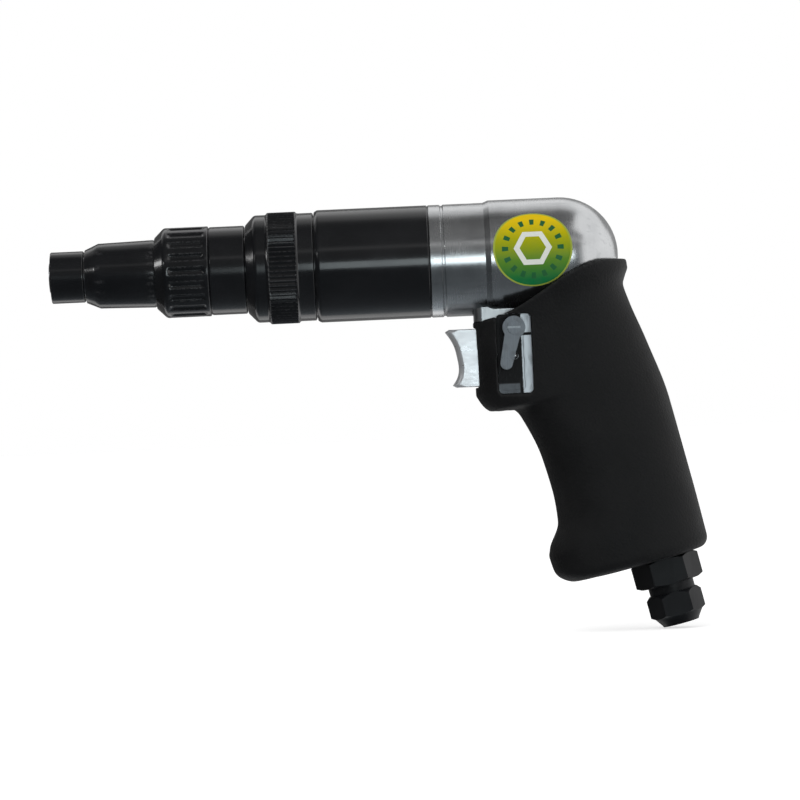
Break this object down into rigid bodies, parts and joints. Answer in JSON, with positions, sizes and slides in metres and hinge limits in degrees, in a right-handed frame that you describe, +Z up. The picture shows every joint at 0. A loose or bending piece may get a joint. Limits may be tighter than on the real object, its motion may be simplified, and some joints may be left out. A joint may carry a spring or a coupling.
{
  "type": "pneumatic screwdriver",
  "caption": "Pistol-grip air screwdriver with a bit-holding nose, adjustable clutch, polished motor housing, rubber grip, trigger, reverse lever and threaded air inlet.",
  "frame": {"origin": "centre of the bit socket's mouth, on the spindle axis", "axes": "+X runs rearwards along the spindle axis, so the bit points to -X; +Z is up and the handle hangs towards -Z; -Y is the side with the reverse lever and the badge"},
  "size_m": [0.2385, 0.044, 0.1606],
  "materials": {
    "aluminium": "polished die-cast alloy",
    "rubber_black": "matte moulded rubber",
    "black_oxide": "glossy black finish on turned steel",
    "black_fitting": "satin black steel",
    "polished_steel": "bright plated steel",
    "spindle_steel": "hardened steel",
    "hard_steel": "ground hard steel",
    "spring_steel": "spring wire",
    "gear_steel": "machined steel",
    "motor_iron": "machined iron",
    "vane_resin": "laminated resin",
    "bronze": "sintered bronze",
    "brass": "turned brass",
    "seal_rubber": "smooth seal rubber",
    "screen_wire": "perforated sheet",
    "cover_plastic": "matte black plastic",
    "muffler_felt": "pressed felt",
    "badge_print": "printed film"
  },
  "bodies": {
    "housing": {"motor_housing": "aluminium", "rubber_grip": "rubber_black", "clutch_housing": "black_oxide", "coupling_nut": "black_oxide", "nose_housing": "black_oxide", "inlet_bushing": "black_fitting", "inlet_adaptor": "black_fitting", "reverse_plate": "polished_steel", "detent_ball": "hard_steel", "cylinder_pin": "hard_steel", "carrier_bearing": "hard_steel", "front_rotor_bearing": "hard_steel", "rear_rotor_bearing": "hard_steel", "valve_spring": "spring_steel", "detent_spring": "spring_steel", "ring_gear": "gear_steel", "bearing_holder": "gear_steel", "motor_cylinder": "motor_iron", "front_end_plate": "motor_iron", "rear_end_plate": "motor_iron", "front_bush": "bronze", "valve_bush": "brass", "inlet_screen": "screen_wire", "exhaust_cover": "cover_plastic", "muffler": "muffler_felt", "badge": "badge_print"},
    "output": {"spindle": "spindle_steel", "bit_balls": "hard_steel", "sleeve_spring": "spring_steel", "sleeve_circlip": "hard_steel", "driven_cam": "gear_steel", "clutch_balls": "hard_steel", "drive_cam": "gear_steel", "planet_carrier": "gear_steel", "planet_pins": "hard_steel", "clutch_spring": "spring_steel"},
    "rotor_group": {"rotor": "gear_steel", "vanes": "vane_resin"},
    "planet_1": {"planet_gear_1": "gear_steel"},
    "planet_2": {"planet_gear_2": "gear_steel"},
    "planet_3": {"planet_gear_3": "gear_steel"},
    "sleeve": {"bit_sleeve": "black_oxide"},
    "adjuster": {"adjust_sleeve": "black_oxide"},
    "spring_stop": {"adjust_nut": "gear_steel", "adjust_pins": "hard_steel", "spring_seat": "gear_steel", "thrust_washer": "hard_steel"},
    "trigger_group": {"trigger": "polished_steel", "trigger_pin": "polished_steel", "valve_stem": "polished_steel", "valve_disc": "polished_steel", "valve_seal": "seal_rubber"},
    "reverse_group": {"reverse_lever": "polished_steel", "lever_screw": "polished_steel", "reverse_spool": "polished_steel", "spool_clip": "polished_steel"}
  },
  "joints": [
    {"name": "spindle_spin", "type": "hinge", "parent": "housing", "child": "output", "pos_m": [0, 0, 0], "axis": [-1, 0, 0], "continuous": true},
    {"name": "rotor_spin", "type": "hinge", "parent": "housing", "child": "rotor_group", "pos_m": [0.17, 0, 0], "axis": [-1, 0, 0], "continuous": true},
    {"name": "planet_1_spin", "type": "hinge", "parent": "output", "child": "planet_1", "pos_m": [0.131, 0, -0.00945], "axis": [-1, 0, 0], "continuous": true},
    {"name": "planet_2_spin", "type": "hinge", "parent": "output", "child": "planet_2", "pos_m": [0.131, 0.00818, 0.00473], "axis": [-1, 0, 0], "continuous": true},
    {"name": "planet_3_spin", "type": "hinge", "parent": "output", "child": "planet_3", "pos_m": [0.131, -0.00818, 0.00473], "axis": [-1, 0, 0], "continuous": true},
    {"name": "sleeve_slide", "type": "slide", "parent": "output", "child": "sleeve", "axis": [-1, 0, 0], "range_m": [0, 0.0025], "stiffness_N_per_m": 1500, "springref_m": -0.003, "deforming": ["sleeve_spring"]},
    {"name": "adjust_turn", "type": "hinge", "parent": "housing", "child": "adjuster", "pos_m": [0.056, 0, 0], "axis": [1, 0, 0], "range_deg": [0, 720]},
    {"name": "adjust_slide", "type": "slide", "parent": "housing", "child": "spring_stop", "axis": [1, 0, 0], "range_m": [0, 0.003], "deforming": ["clutch_spring"]},
    {"name": "trigger_pull", "type": "slide", "parent": "housing", "child": "trigger_group", "axis": [1, 0, 0], "range_m": [0, 0.006], "stiffness_N_per_m": 900, "springref_m": -0.006, "deforming": ["valve_spring"]},
    {"name": "reverse_turn", "type": "hinge", "parent": "housing", "child": "reverse_group", "pos_m": [0.1703, 0, -0.0259], "axis": [0, -1, 0], "range_deg": [0, 28]}
  ],
  "couplings": [
    {"joint": "rotor_spin", "follows": "spindle_spin", "ratio": 4.5},
    {"joint": "planet_1_spin", "follows": "spindle_spin", "ratio": -2.8},
    {"joint": "planet_2_spin", "follows": "spindle_spin", "ratio": -2.8},
    {"joint": "planet_3_spin", "follows": "spindle_spin", "ratio": -2.8},
    {"joint": "adjust_slide", "follows": "adjust_turn", "m_per_rad": 0.0002387}
  ]
}
